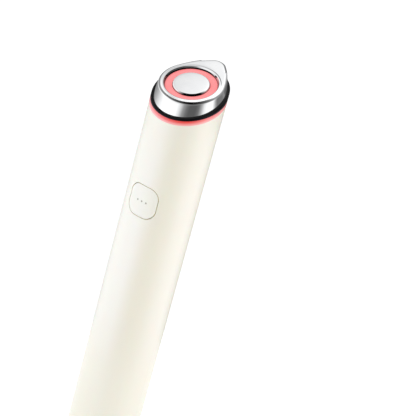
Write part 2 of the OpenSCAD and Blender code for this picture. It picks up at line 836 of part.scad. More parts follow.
// Flat cable from the charging board, up past the battery's front, to the main board
module link_ribbon() color("#D9822B") {
    rear = -socket_h / 2;
    turn_z = low_bulkhead_z - ribbon_t - 0.3;
    join_z = board_z0 + 0.5;
    outer_side = [
        [rear + ribbon_t, turn_z - ribbon_tail], [rear + ribbon_t, turn_z], [ribbon_y, turn_z],
        [ribbon_y, join_z - ribbon_bend], [board_front + ribbon_t, join_z],
        [board_front + ribbon_t, join_z + ribbon_join]
    ];
    inner_side = [
        [board_front, join_z + ribbon_join], [board_front, join_z],
        [ribbon_y - ribbon_t, join_z - ribbon_bend], [ribbon_y - ribbon_t, turn_z + ribbon_t],
        [rear, turn_z + ribbon_t], [rear, turn_z - ribbon_tail]
    ];
    translate([ribbon_w / 2, 0, 0]) rotate([90, 0, -90]) linear_extrude(ribbon_w)
        polygon(concat(outer_side, inner_side));
}

module usb_board() color(board_green)
    translate([-usb_board_half, socket_h / 2, usb_board_z0])
        cube([2 * usb_board_half, usb_board_t, usb_board_z1 - usb_board_z0]);

module usb_socket() color("silver") translate([0, 0, socket_recess]) {
    difference() {
        linear_extrude(socket_l) rounded_rect(socket_w, socket_h, socket_h / 2 - eps);
        translate([0, 0, -over]) linear_extrude(tongue_in + tongue_l + over)
            rounded_rect(socket_w - 2 * socket_wall, socket_h - 2 * socket_wall,
                socket_h / 2 - socket_wall - eps);
    }
    translate([-tongue_w / 2, -tongue_t / 2, tongue_in]) cube([tongue_w, tongue_t, tongue_l + eps]);
}

barrel();
bottom_cap();
cap_seal();
light_ring();
insulator_ring();
outer_electrode();
face_light_guide();
inner_electrode();
head_carrier();
face_board();
face_leds();
ring_board();
ring_leds();
contact_pins();
inner_frame();
head_screws();
main_board();
board_chips();
board_screws();
switch_body();
switch_plunger();
button_cap();
indicator_dots();
button_seal();
motor_case();
motor_boot();
motor_shaft();
motor_weight();
battery_cell();
battery_tabs();
battery_pad();
link_ribbon();
usb_board();
usb_socket();
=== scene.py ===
import math

import bpy
from mathutils import Matrix, Vector


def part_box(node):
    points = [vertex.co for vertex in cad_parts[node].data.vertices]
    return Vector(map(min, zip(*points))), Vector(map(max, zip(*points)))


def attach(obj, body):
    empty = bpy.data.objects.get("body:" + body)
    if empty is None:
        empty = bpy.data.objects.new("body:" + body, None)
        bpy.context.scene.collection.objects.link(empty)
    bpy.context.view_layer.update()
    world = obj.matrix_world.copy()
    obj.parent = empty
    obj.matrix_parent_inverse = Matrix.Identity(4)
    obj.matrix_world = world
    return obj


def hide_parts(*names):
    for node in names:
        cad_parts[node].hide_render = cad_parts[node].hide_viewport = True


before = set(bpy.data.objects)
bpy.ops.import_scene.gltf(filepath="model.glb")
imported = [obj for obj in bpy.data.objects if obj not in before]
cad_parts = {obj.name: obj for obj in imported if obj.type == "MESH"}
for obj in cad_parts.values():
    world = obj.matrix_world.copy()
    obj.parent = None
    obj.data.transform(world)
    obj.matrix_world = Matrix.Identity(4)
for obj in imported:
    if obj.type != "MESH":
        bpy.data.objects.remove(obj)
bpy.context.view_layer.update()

MM = 0.001

# Sizes of the object in millimetres, as in the CAD model
BARREL_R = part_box("barrel")[1].x / MM
SLANT_RISE = math.tan(math.radians(22))
BARREL_H = 124.0
LIGHT_TOP = 125.45
SKIRT_Z = 126.9
SKIRT_SLANT_RISE = math.tan(math.radians(25.5))
SKIRT_R = 10.3
BLACK_BORE_R = 8.6
FACE_TILT = math.radians(20.5)
FACE_SHIFT = 0.9
FACE_AXIS_Z = 130.05
FACE_CENTRE = Vector((0, -FACE_SHIFT, FACE_AXIS_Z - FACE_SHIFT * math.tan(FACE_TILT)))
ROUND_SHIFT = 0.3
FACE_R = 9.8
BEAK_REACH = 13.8
BEAK_R = 3.6
BEAK_Y = BEAK_REACH - BEAK_R
FLANK_R = 26.0
FACE_ROUND = 0.45
FACE_WALL = 1.25
BEZEL_W = 1.15
BEZEL_H = 0.2
OPENING_R = 7.7
CAVITY_R = 8.35
DISC_R = 5.42
DISC_BOTTOM = 1.9
STEM_R = 1.5
STEM_BOTTOM = 6.3

# Finer forms that only the scene has, in millimetres
RING_LOW_EDGE = 0.1     # rounding of the black ring's lower edge
RING_HIGH_EDGE = 0.28   # the same, of its upper edge
FACE_RUN = 0.95         # reach of the head's rounded edge into the face
SIDE_RUN = 0.45         # the same, down the side
BEZEL_FALL = 0.6        # width of the slope from the bezel to the face
BEZEL_RUN = 0.05        # reach of that slope beyond the bezel
CHAMFER_W = 0.3         # bevel round the opening
CHAMFER_DEPTH = 0.35
DISC_EDGE = 0.4         # rounding of the disc's edge
DISC_CROWN = 0.05       # rise of the disc's middle over its edge
CAVITY_PRESS = 0.98     # share of its depth that the cavity keeps at the foot, along Y
CAVITY_SHIFT = -0.1     # shift of the cavity's foot, along Y
TIP_R = 0.01            # ring that closes a round piece on its axis

# Points round each piece, and rows over the head's rounded edge
RING_STEPS = 192
HEAD_STEPS = 288
DISC_STEPS = 160
EDGE_STEPS = 16

# Painted dark reflections: dark lines painted into the head's colour, each a band round the middle of the face: the
# radius that it belongs to, then the ends of its two flanks, in millimetres from that radius
WALL_LINE = (OPENING_R, (-0.04, -0.01), (0.095, 0.155))
CHAMFER_LINE = (OPENING_R, (0.03, 0.06), (0.38, 0.43))
DISC_LINE = (DISC_R, (-0.46, -0.38), (0.3, 0.4))
DISC_LINE_SIDE = (0.64, -0.77)      # the side of the disc where its line is darkest, across and along
# colour of the painted dark reflections on the head
PAINTED_DARK_REFLECTION = (0.003, 0.003, 0.003)
PAINTED_SHADE_LINE = (0.01, 0.01, 0.01)      # of the painted shade lines at both edges of the ring of light
# Painted dark reflection along the head's edge: the turn where it is darkest, in degrees, and its reach to each side
EDGE_PAINTED_DARK_TURN = -54
EDGE_PAINTED_DARK_REACH = 45

# Red of the light ring: the turn where it is deepest, and the span over which a painted sheen pales it, in degrees
RED_TURN = 24
PAINTED_SHEEN_SPAN = (15, 70)

# Warm painted shade in the gap round the button: its colour, its two depths below the barrel's surface and its lowest
# edge
GAP_PAINTED_SHADE = (0.90, 0.78, 0.36)
GAP_DEPTHS = (0.3, 0.06)
GAP_FOOT = (60.0, 61.0)

# Camera, matched to the close view in the photograph, in millimetres and radians
CAMERA_AZIMUTH = math.radians(29.05)
CAMERA_ELEVATION = math.radians(23.82)
CAMERA_ROLL = math.radians(15.54)
CAMERA_TARGET = Vector((7.37, 15.18, 88.68))
CAMERA_DISTANCE = 552.31
LENS = 158.37
SENSOR = 36.0


# Shader building


def new_material(name):
    """A material with an empty node tree, its Principled shader and its Object coordinates in millimetres."""
    material = bpy.data.materials.new(name)
    material.use_nodes = True
    tree = material.node_tree
    tree.nodes.clear()
    output = tree.nodes.new("ShaderNodeOutputMaterial")
    shader = tree.nodes.new("ShaderNodeBsdfPrincipled")
    tree.links.new(shader.outputs["BSDF"], output.inputs["Surface"])
    place = tree.nodes.new("ShaderNodeTexCoord")
    scale = tree.nodes.new("ShaderNodeVectorMath")
    scale.operation = "SCALE"
    scale.inputs["Scale"].default_value = 1 / MM
    tree.links.new(place.outputs["Object"], scale.inputs[0])
    return material, tree, shader, scale.outputs["Vector"]


def noise(tree, vector, scale, detail=3.0, stretch=None):
    """Noise from 0 to 1, its scale in features per millimetre."""
    if stretch:
        mapping = tree.nodes.new("ShaderNodeMapping")
        mapping.inputs["Scale"].default_value = stretch
        tree.links.new(vector, mapping.inputs["Vector"])
        vector = mapping.outputs["Vector"]
    node = tree.nodes.new("ShaderNodeTexNoise")
    node.inputs["Scale"].default_value = scale
    node.inputs["Detail"].default_value = detail
    tree.links.new(vector, node.inputs["Vector"])
    return node.outputs["Fac"]


def ramp(tree, value, stops):
    """Colours along a value: stops are (place, colour) pairs."""
    node = tree.nodes.new("ShaderNodeValToRGB")
    elements = node.color_ramp.elements
    while len(elements) < len(stops):
        elements.new(0.5)
    for element, (place, colour) in zip(elements, stops):
        element.position = place
        element.color = (*colour, 1)
    tree.links.new(value, node.inputs["Fac"])
    return node.outputs["Color"]


def span(tree, value, low, high, out_low=0.0, out_high=1.0):
    """The value carried from one range to another and held at its ends."""
    node = tree.nodes.new("ShaderNodeMapRange")
    node.inputs["From Min"].default_value = low
    node.inputs["From Max"].default_value = high
    node.inputs["To Min"].default_value = out_low
    node.inputs["To Max"].default_value = out_high
    tree.links.new(value, node.inputs["Value"])
    return node.outputs["Result"]


def math_node(tree, operation, first, second=0.0):
    """An operation on sockets or plain numbers."""
    node = tree.nodes.new("ShaderNodeMath")
    node.operation = operation
    for socket, value in zip(node.inputs, (first, second)):
        if isinstance(value, (int, float)):
            socket.default_value = value
        else:
            tree.links.new(value, socket)
    return node.outputs["Value"]


def axes(tree, vector):
    """The three coordinates of a vector."""
    node = tree.nodes.new("ShaderNodeSeparateXYZ")
    tree.links.new(vector, node.inputs["Vector"])
    return node.outputs["X"], node.outputs["Y"], node.outputs["Z"]


def turn_from_front(tree, x, y):
    """Turn round the axis in radians, from the button side towards +X."""
    return math_node(tree, "ARCTAN2", x, math_node(tree, "MULTIPLY", y, -1.0))


def bump(tree, shader, height, distance):
    """Relief on the shader, its distance in millimetres."""
    node = tree.nodes.new("ShaderNodeBump")
    node.inputs["Distance"].default_value = distance * MM
    tree.links.new(height, node.inputs["Height"])
    tree.links.new(node.outputs["Normal"], shader.inputs["Normal"])


def mixed(tree, factor, first, second):
    """A blend of two colours by a factor."""
    node = tree.nodes.new("ShaderNodeMix")
    node.data_type = "RGBA"
    tree.links.new(factor, node.inputs["Factor"])
    for socket, value in ((node.inputs[6], first), (node.inputs[7], second)):
        if isinstance(value, tuple):
            socket.default_value = (*value, 1)
        else:
            tree.links.new(value, socket)
    return node.outputs[2]


def moulded(name, colour, rough, shade, grain, relief, patch, coat=0.0, subsurface=0.0, glow=0.0, specular=0.5,
            deep=None):
    """Moulded plastic or rubber: slow patches of shade, fine grain in its gloss and its relief.

    deep is its colour below the barrel's surface, a painted shade seen in the gap round the button.
    """
    material, tree, shader, place = new_material(name)
    slow = noise(tree, place, patch, 2.0)
    dark = tuple(c * (1 - shade) for c in colour)
    tone = ramp(tree, slow, [(0.3, dark), (0.7, colour)])
    # painted shade: a warm tone on everything below the barrel's surface and above GAP_FOOT
    if deep:
        x, y, z = axes(tree, place)
        square = math_node(tree, "ADD", math_node(tree, "MULTIPLY", x, x), math_node(tree, "MULTIPLY", y, y))
        under = span(tree, math_node(tree, "SQRT", square), *(BARREL_R - depth for depth in GAP_DEPTHS), 1.0, 0.0)
        tone = mixed(tree, math_node(tree, "MULTIPLY", under, span(tree, z, *GAP_FOOT)), tone, deep)
    tree.links.new(tone, shader.inputs["Base Color"])
    fine = noise(tree, place, grain, 4.0)
    tree.links.new(span(tree, fine, 0.3, 0.7, *rough), shader.inputs["Roughness"])
    bump(tree, shader, fine, relief)
    shader.inputs["Specular IOR Level"].default_value = specular
    shader.inputs["Coat Weight"].default_value = coat
    shader.inputs["Coat Roughness"].default_value = 0.08
    shader.inputs["Subsurface Weight"].default_value = subsurface
    shader.inputs["Subsurface Scale"].default_value = 0.6 * MM
    if glow:
        shader.inputs["Emission Color"].default_value = (*colour, 1)
        shader.inputs["Emission Strength"].default_value = glow
    return material


def metal(name, colour, rough, grain, stretch=None, relief=0.001, shade=0.08):
    """Bare metal with fine drawn or polished marks."""
    material, tree, shader, place = new_material(name)
    marks = noise(tree, place, grain, 5.0, stretch)
    dark = tuple(c * (1 - shade) for c in colour)
    tree.links.new(ramp(tree, marks, [(0.35, dark), (0.65, colour)]), shader.inputs["Base Color"])
    tree.links.new(span(tree, marks, 0.3, 0.7, *rough), shader.inputs["Roughness"])
    bump(tree, shader, marks, relief)
    shader.inputs["Metallic"].default_value = 1.0
    return material


def circuit_board(name):
    """Green solder mask over a faint grid of tracks."""
    material, tree, shader, place = new_material(name)
    tracks = tree.nodes.new("ShaderNodeTexBrick")
    tracks.inputs["Scale"].default_value = 1.0
    tracks.inputs["Mortar Size"].default_value = 0.06
    tracks.inputs["Brick Width"].default_value = 1.3
    tracks.inputs["Row Height"].default_value = 0.5
    tracks.inputs["Color1"].default_value = (0.015, 0.13, 0.06, 1)
    tracks.inputs["Color2"].default_value = (0.02, 0.16, 0.075, 1)
    tracks.inputs["Mortar"].default_value = (0.05, 0.28, 0.13, 1)
    upright = tree.nodes.new("ShaderNodeMapping")
    upright.inputs["Rotation"].default_value = (math.pi / 2, 0, 0)
    tree.links.new(place, upright.inputs["Vector"])
    tree.links.new(upright.outputs["Vector"], tracks.inputs["Vector"])
    tree.links.new(tracks.outputs["Color"], shader.inputs["Base Color"])
    weave = noise(tree, place, 8.0, 2.0)
    tree.links.new(span(tree, weave, 0.3, 0.7, 0.3, 0.45), shader.inputs["Roughness"])
    bump(tree, shader, tracks.outputs["Fac"], 0.02)
    return material


def slanted_height(tree, place, foot):
    """Height in millimetres above the slanted plane that crosses the barrel's axis at foot."""
    x, y, z = axes(tree, place)
    return math_node(tree, "SUBTRACT", math_node(tree, "SUBTRACT", z, foot),
                     math_node(tree, "MULTIPLY", y, SLANT_RISE))


def glowing_ring(name):
    """Light ring under the black ring: deep red along its upper edge, paler lower down and by a painted sheen away
    from RED_TURN.
    """
    material, tree, shader, place = new_material(name)
    height = slanted_height(tree, place, BARREL_H)
    share = span(tree, height, 0.0, LIGHT_TOP - BARREL_H)
    drift = math_node(tree, "MULTIPLY", math_node(tree, "SUBTRACT", noise(tree, place, 0.12, 1.0), 0.5), 0.25)
    level = math_node(tree, "ADD", share, drift)
    colour = ramp(tree, level, [
        (0.0, (0.78, 0.38, 0.37)), (0.35, (0.72, 0.22, 0.21)), (0.7, (0.68, 0.062, 0.055)),
        (0.92, (0.60, 0.04, 0.035)), (1.0, (0.40, 0.03, 0.03))])
    # painted sheen: the red pales the farther the turn is from RED_TURN
    x, y, z = axes(tree, place)
    aside = math_node(tree, "SUBTRACT", turn_from_front(tree, x, y), math.radians(RED_TURN))
    painted_sheen = span(tree, math_node(tree, "ABSOLUTE", aside), *map(math.radians, PAINTED_SHEEN_SPAN), 0.0, 0.55)
    colour = mixed(tree, painted_sheen, colour, (0.80, 0.40, 0.40))
    tree.links.new(colour, shader.inputs["Base Color"])
    tree.links.new(colour, shader.inputs["Emission Color"])
    shader.inputs["Emission Strength"].default_value = 0.35
    fine = noise(tree, place, 5.0, 2.0)
    tree.links.new(span(tree, fine, 0.3, 0.7, 0.18, 0.26), shader.inputs["Roughness"])
    bump(tree, shader, fine, 0.002)
    shader.inputs["Coat Weight"].default_value = 0.4
    shader.inputs["Coat Roughness"].default_value = 0.1
    return material


def face_radius(tree, place):
    """Distance in millimetres from the middle of the face."""
    centre = tree.nodes.new("ShaderNodeVectorMath")
    centre.operation = "DISTANCE"
    centre.inputs[1].default_value = FACE_CENTRE
    tree.links.new(place, centre.inputs[0])
    return centre.outputs["Value"]


def glowing_face(name):
    """Pink ring of light in the face, a little stronger along the middle of its width, with painted shade lines at
    both edges.
    """
    material, tree, shader, place = new_material(name)
    radius = face_radius(tree, place)
    share = span(tree, radius, DISC_R, OPENING_R)
    colour = ramp(tree, share, [
        (0.0, (0.84, 0.19, 0.19)), (0.25, (0.90, 0.225, 0.23)), (0.6, (0.92, 0.245, 0.25)),
        (0.85, (0.90, 0.22, 0.225)), (1.0, (0.80, 0.17, 0.175))])
    spots = noise(tree, place, 0.35, 1.0)
    tone = mixed(tree, span(tree, spots, 0.35, 0.65, 0.0, 0.35), colour, (0.93, 0.285, 0.29))
    # painted shade: dark lines at the ring's inner and outer edges
    shade_lines = ramp(tree, share, [(0.05, (1, 1, 1)), (0.09, (0, 0, 0)), (0.95, (0, 0, 0)), (0.985, (1, 1, 1))])
    tone = mixed(tree, shade_lines, tone, PAINTED_SHADE_LINE)
    tree.links.new(tone, shader.inputs["Base Color"])
    tree.links.new(tone, shader.inputs["Emission Color"])
    shader.inputs["Emission Strength"].default_value = 0.55
    fine = noise(tree, place, 6.0, 3.0)
    tree.links.new(span(tree, fine, 0.3, 0.7, 0.35, 0.45), shader.inputs["Roughness"])
    bump(tree, shader, fine, 0.003)
    return material


def face_line(tree, reach, radius, rise, fall):
    """A band round the middle of the face: 1 between its two flanks, and 0 outside them."""
    return math_node(tree, "MULTIPLY", span(tree, reach, *(radius + r for r in rise)),
                     span(tree, reach, *(radius + r for r in fall), 1.0, 0.0))


def polished_metal(name):
    """Mirror-polished head: faint polishing haze, hairline marks and the painted dark reflections in its gloss.

    The painted dark reflections lie on the opening's wall and bevel, at the disc's front and, by the attribute edge,
    along the head's edge.
    """
    material, tree, shader, place = new_material(name)
    haze = noise(tree, place, 0.18, 2.0)
    hair = noise(tree, place, 2.0, 6.0, (1.0, 9.0, 9.0))
    shine = ramp(tree, haze, [(0.3, (0.86, 0.87, 0.88)), (0.7, (0.93, 0.935, 0.94))])
    x, y, z = axes(tree, place)
    reach = face_radius(tree, place)
    ahead = math_node(tree, "ADD", math_node(tree, "MULTIPLY", x, DISC_LINE_SIDE[0]),
                      math_node(tree, "MULTIPLY", y, DISC_LINE_SIDE[1]))
    # painted dark reflection along the head's edge, read from the point attribute edge
    edge = tree.nodes.new("ShaderNodeAttribute")
    edge.attribute_name = "edge"
    painted_reflection = edge.outputs["Fac"]
    # painted dark reflections on the opening's wall, its bevel and the disc's front, each stronger on one side
    for line, strength in ((WALL_LINE, span(tree, x, 1.0, 6.0, 1.0, 0.4)),
                           (CHAMFER_LINE, span(tree, y, 3.4, 5.5, 0.85, 0.1)),
                           (DISC_LINE, span(tree, ahead, 3.9, 5.2))):
        dark = math_node(tree, "MULTIPLY", face_line(tree, reach, *line), strength)
        painted_reflection = math_node(tree, "MAXIMUM", painted_reflection, dark)
    tree.links.new(mixed(tree, painted_reflection, shine, PAINTED_DARK_REFLECTION), shader.inputs["Base Color"])
    smooth = math_node(tree, "ADD", span(tree, haze, 0.3, 0.7, 0.035, 0.06),
                       span(tree, hair, 0.5, 0.8, 0.0, 0.03))
    tree.links.new(smooth, shader.inputs["Roughness"])
    bump(tree, shader, hair, 0.0004)
    shader.inputs["Metallic"].default_value = 1.0
    return material


CREAM = (0.905, 0.868, 0.750)
MATERIALS = {
    "cream": moulded("cream_shell", CREAM, (0.30, 0.38), 0.015, 7.0, 0.0025, 0.03, coat=0.12, subsurface=0.12,
                      specular=0.9, deep=GAP_PAINTED_SHADE),
    "button": moulded("button_shell", (0.915, 0.890, 0.800), (0.33, 0.42), 0.012, 7.0, 0.0025, 0.2,
                      subsurface=0.10, deep=GAP_PAINTED_SHADE),
    "dot": moulded("dot_ink", (0.42, 0.39, 0.29), (0.45, 0.6), 0.1, 9.0, 0.003, 0.5),
    "light_ring": glowing_ring("light_ring"),
    "face_light": glowing_face("face_light"),
    "black": moulded("gloss_black", (0.004, 0.004, 0.005), (0.08, 0.16), 0.2, 5.0, 0.001, 0.4, coat=0.03,
                     specular=0.08),
    "chrome": polished_metal("polished_metal"),
    "rubber": moulded("seal_rubber", (0.012, 0.012, 0.013), (0.6, 0.8), 0.2, 5.0, 0.01, 0.3),
    "soft_seal": moulded("soft_seal", (0.26, 0.27, 0.29), (0.6, 0.75), 0.08, 6.0, 0.006, 0.3),
    "grey": moulded("grey_moulding", (0.24, 0.25, 0.27), (0.45, 0.6), 0.06, 4.0, 0.006, 0.15),
    "board": circuit_board("circuit_board"),
    "led": moulded("light_chip", (0.92, 0.90, 0.78), (0.15, 0.25), 0.05, 6.0, 0.003, 0.8, glow=0.4),
    "chip": moulded("chip_black", (0.012, 0.012, 0.013), (0.4, 0.55), 0.15, 9.0, 0.004, 0.6),
    "gold": metal("gold_contact", (0.86, 0.60, 0.22), (0.15, 0.28), 4.0, (6.0, 6.0, 1.0)),
    "steel": metal("steel_screw", (0.62, 0.62, 0.64), (0.22, 0.38), 5.0, (4.0, 4.0, 1.0)),
    "motor": metal("motor_steel", (0.66, 0.67, 0.69), (0.2, 0.35), 3.0, (4.0, 4.0, 0.5)),
    "weight": metal("weight_alloy", (0.22, 0.22, 0.23), (0.4, 0.6), 4.0, None, 0.004, 0.2),
    "cell": moulded("cell_wrap", (0.035, 0.14, 0.42), (0.22, 0.34), 0.12, 1.6, 0.006, 0.1, coat=0.3),
    "nickel": metal("nickel", (0.68, 0.66, 0.60), (0.2, 0.34), 4.0, (1.0, 4.0, 4.0)),
    "foam": moulded("foam", (0.035, 0.037, 0.04), (0.85, 0.98), 0.3, 3.0, 0.08, 0.5),
    "ribbon": moulded("ribbon_film", (0.56, 0.18, 0.02), (0.18, 0.3), 0.15, 2.0, 0.003, 0.3, coat=0.4),
    "plunger": moulded("plunger_white", (0.78, 0.74, 0.66), (0.3, 0.4), 0.05, 6.0, 0.003, 0.5),
}

# The finish of each CAD node that is shown as it is
NODE_FINISH = {
    "barrel": "cream", "bottom_cap": "cream", "cap_seal": "rubber", "light_ring": "light_ring",
    "insulator_ring": "black", "outer_electrode": "chrome", "face_light_guide": "face_light",
    "inner_electrode": "chrome", "head_carrier": "grey", "face_board": "board", "face_leds": "led",
    "ring_board": "board", "ring_leds": "led", "contact_pins": "gold", "inner_frame": "grey",
    "head_screws": "steel", "main_board": "board", "board_chips": "chip", "board_screws": "steel",
    "switch_body": "chip", "switch_plunger": "plunger", "button_cap": "button", "indicator_dots": "dot",
    "button_seal": "soft_seal", "motor_case": "motor", "motor_boot": "rubber", "motor_shaft": "motor",
    "motor_weight": "weight", "battery_cell": "cell", "battery_tabs": "nickel", "battery_pad": "foam",
    "link_ribbon": "ribbon", "usb_board": "board", "usb_socket": "nickel",
}


def dress(obj, finish):
    """Gives an object one of the materials above."""
    obj.data.materials.clear()
    obj.data.materials.append(MATERIALS[finish])


for node_name, finish in NODE_FINISH.items():
    dress(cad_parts[node_name], finish)


# Mesh building


def mesh_piece(name, rows, finish, body, nodes, closed=False, sharp=32):
    """A piece from rings of points, in millimetres, joined row to row. closed joins the last row to the first."""
    count = len(rows[0])
    points = [tuple(p * MM for p in point) for row in rows for point in row]
    faces = []
    pairs = list(zip(range(len(rows)), range(1, len(rows)))) + ([(len(rows) - 1, 0)] if closed else [])
    for a, b in pairs:
        for i in range(count):
            j = (i + 1) % count
            faces.append((a * count + i, a * count + j, b * count + j, b * count + i))
    mesh = bpy.data.meshes.new(name)
    mesh.from_pydata(points, [], faces)
    mesh.polygons.foreach_set("use_smooth", [True] * len(mesh.polygons))
    mesh.set_sharp_from_angle(angle=math.radians(sharp))
    mesh.validate()
    piece = bpy.data.objects.new(name, mesh)
    bpy.context.scene.collection.objects.link(piece)
    dress(piece, finish)
    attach(piece, body)
    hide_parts(*nodes)
    return piece


def arc(centre, radius, start, end, steps):
    """Points of a fillet in a profile, from one angle in degrees to another."""
    turns = [math.radians(start + (end - start) * k / steps) for k in range(steps + 1)]
    return [(centre[0] + radius * math.cos(t), centre[1] + radius * math.sin(t)) for t in turns]


def ring_row(radius, foot, rise, lift, count):
    """Ring of points on an upright cylinder, lifted from the slanted plane that crosses the axis at foot."""
    turns = [2 * math.pi * i / count for i in range(count)]
    return [(radius * math.cos(t), radius * math.sin(t), foot + lift + radius * math.sin(t) * rise) for t in turns]


# Black insulating ring, a wedge with rounded edges


def low_row(radius, lift):
    """Ring of points by the black ring's lower plane."""
    return ring_row(radius, LIGHT_TOP, SLANT_RISE, lift, RING_STEPS)


def high_row(radius, lift):
    """Ring of points by the black ring's upper plane."""
    return ring_row(radius, SKIRT_Z, SKIRT_SLANT_RISE, lift, RING_STEPS)


black_rows = [low_row(BLACK_BORE_R, 0.0)]
black_rows += [low_row(r, h) for r, h in arc((BARREL_R - RING_LOW_EDGE, RING_LOW_EDGE), RING_LOW_EDGE, -90, 0, 3)]
black_rows += [high_row(r, h) for r, h in arc((BARREL_R - RING_HIGH_EDGE, -RING_HIGH_EDGE), RING_HIGH_EDGE, 0, 90, 6)]
black_rows += [high_row(BLACK_BORE_R, 0.0)]
mesh_piece("insulator_band", black_rows, "black", "root", ["insulator_ring"], closed=True, sharp=50)


# Metal head and its middle disc

FACE_ROTATION = Matrix.Rotation(FACE_TILT, 3, "X")


def on_face(x, v, depth):
    """A point given across the face, along it towards the beak and below it."""
    return FACE_CENTRE + FACE_ROTATION @ Vector((x, v, -depth))


def outline_arcs():
    """The face's outline as arcs: centre, radius, first and last turn, and share of the points."""
    flank_in = FLANK_R - FACE_R
    flank_y = (flank_in ** 2 - (FLANK_R - BEAK_R) ** 2 + BEAK_Y ** 2) / (2 * BEAK_Y)
    flank_x = math.sqrt(flank_in ** 2 - flank_y ** 2)
    start = math.atan2(-flank_y, flank_x)
    end = math.atan2(BEAK_Y - flank_y, flank_x)
    return [((0, 0), FACE_R, math.pi - start, 2 * math.pi + start, 0.44),
            ((-flank_x, flank_y), FLANK_R, start, end, 0.17),
            ((0, BEAK_Y), BEAK_R, end, math.pi - end, 0.22),
            ((flank_x, flank_y), FLANK_R, math.pi - end, math.pi - start, 0.17)]


def outline_places(count):
    """Points round the outline as (arc's centre, radius, turn of the outward normal)."""
    places = []
    for centre, radius, start, end, share in outline_arcs():
        steps = round(count * share)
        places += [(centre, radius, start + (end - start) * k / steps) for k in range(steps)]
    return places


def outline_point(place):
    """Where a place on the outline lies, across the face and along it."""
    centre, radius, turn = place
    return centre[0] + radius * math.cos(turn), centre[1] + radius * math.sin(turn) + ROUND_SHIFT


def held(share):
    """The share, kept from 0 to 1."""
    return min(max(share, 0.0), 1.0)


def painted_edge_reflection(turn, t):
    """How dark the painted reflection on the head's edge is, t being the share of the way from the face to the side.

    The painted dark reflection is broad and black along the front, thin at the sides and faint round the beak.
    """
    aside = (turn - math.radians(EDGE_PAINTED_DARK_TURN) + math.pi) % (2 * math.pi) - math.pi
    reach = math.radians(EDGE_PAINTED_DARK_REACH)
    front = math.cos(math.pi / 2 * aside / reach) if abs(aside) < reach else 0.0
    beak = max(math.sin(turn), 0.0)
    strength = 0.72 + 0.28 * front - 0.35 * beak
    first, last, soft = 0.40 - 0.24 * front, 0.72 + 0.22 * front, 0.1
    return strength * held((t - first + soft) / soft) * held((last + soft - t) / soft)


def head_rows(count):
    """The head's rings of points, and for each point how dark the painted reflection on the edge is there."""
    places = outline_places(count)
    around = [math.atan2(v, x) for x, v in map(outline_point, places)]
    bezel_out = OPENING_R + BEZEL_W + BEZEL_RUN

    def circle(radius, depth):
        return [on_face(radius * math.cos(t), radius * math.sin(t), depth) for t in around]

    rows = [circle(OPENING_R, FACE_WALL), circle(OPENING_R, FACE_WALL / 2), circle(OPENING_R, CHAMFER_DEPTH)]
    rows += [circle(OPENING_R + CHAMFER_W * k / 4, CHAMFER_DEPTH - (CHAMFER_DEPTH + BEZEL_H) * k / 4)
             for k in range(1, 5)]
    rows += [circle(bezel_out - BEZEL_FALL, -BEZEL_H)]
    rows += [circle(bezel_out - BEZEL_FALL * (1 - k / 8), -BEZEL_H * (0.5 + 0.5 * math.cos(math.pi * k / 8)))
             for k in range(1, 9)]
    # side's line from the round foot, and the curve that carries it over the edge into the face
    feet, curves = [], []
    for place in places:
        turn = place[2]
        x, y = SKIRT_R * math.cos(turn), SKIRT_R * math.sin(turn)
        foot = Vector((x, y, SKIRT_Z + y * SKIRT_SLANT_RISE))
        top = on_face(*outline_point(place), FACE_ROUND)
        side = (foot - top).normalized()
        rim = on_face(*outline_point(place), 0.0)
        outward = FACE_ROTATION @ Vector((math.cos(turn), math.sin(turn), 0))
        reach = FACE_ROUND / side.dot(FACE_ROTATION @ Vector((0, 0, -1)))
        lean = (top - side * reach - rim).dot(outward)
        start = rim + outward * (min(lean, 0.0) - FACE_RUN)
        end = top + side * (SIDE_RUN - (reach if lean < 0 else FACE_ROUND) + 0.25 * max(lean, 0.0))
        # the edge is closer to a bevel along the front
        pull = 0.62 - 0.3 * held(-1.5 * math.sin(turn))
        feet.append(foot)
        curves.append((start, start + outward * FACE_RUN * pull, end - side * SIDE_RUN * pull, end))
    # flat face, from the bezel's foot to the rounded edge
    bezel_foot = circle(bezel_out, 0.0)
    rows += [[a.lerp(c[0], k / 4) for a, c in zip(bezel_foot, curves)] for k in range(1, 5)]
    # rounded edge, then the side
    for k in range(1, EDGE_STEPS + 1):
        t = k / EDGE_STEPS
        shares = (1 - t) ** 3, 3 * t * (1 - t) ** 2, 3 * t * t * (1 - t), t ** 3
        rows.append([sum((point * share for point, share in zip(curve, shares)), Vector((0, 0, 0)))
                     for curve in curves])
    # painted dark reflection on the rounded edge, one value for each point
    painted_edge_tones = [0.0] * count * (len(rows) - EDGE_STEPS)
    painted_edge_tones += [painted_edge_reflection(place[2], k / EDGE_STEPS) for k in range(1, EDGE_STEPS + 1) for place in places]
    rows += [[c[3].lerp(b, k / 8) for c, b in zip(curves, feet)] for k in range(1, 9)]
    # foot and cavity
    rows.append([Vector((CAVITY_R * math.cos(t), CAVITY_R * math.sin(t) * CAVITY_PRESS + CAVITY_SHIFT,
                         SKIRT_Z + CAVITY_R * math.sin(t) * SKIRT_SLANT_RISE)) for t in around])
    rows.append(circle(CAVITY_R, FACE_WALL))
    return rows, painted_edge_tones + [0.0] * (count * len(rows) - len(painted_edge_tones))


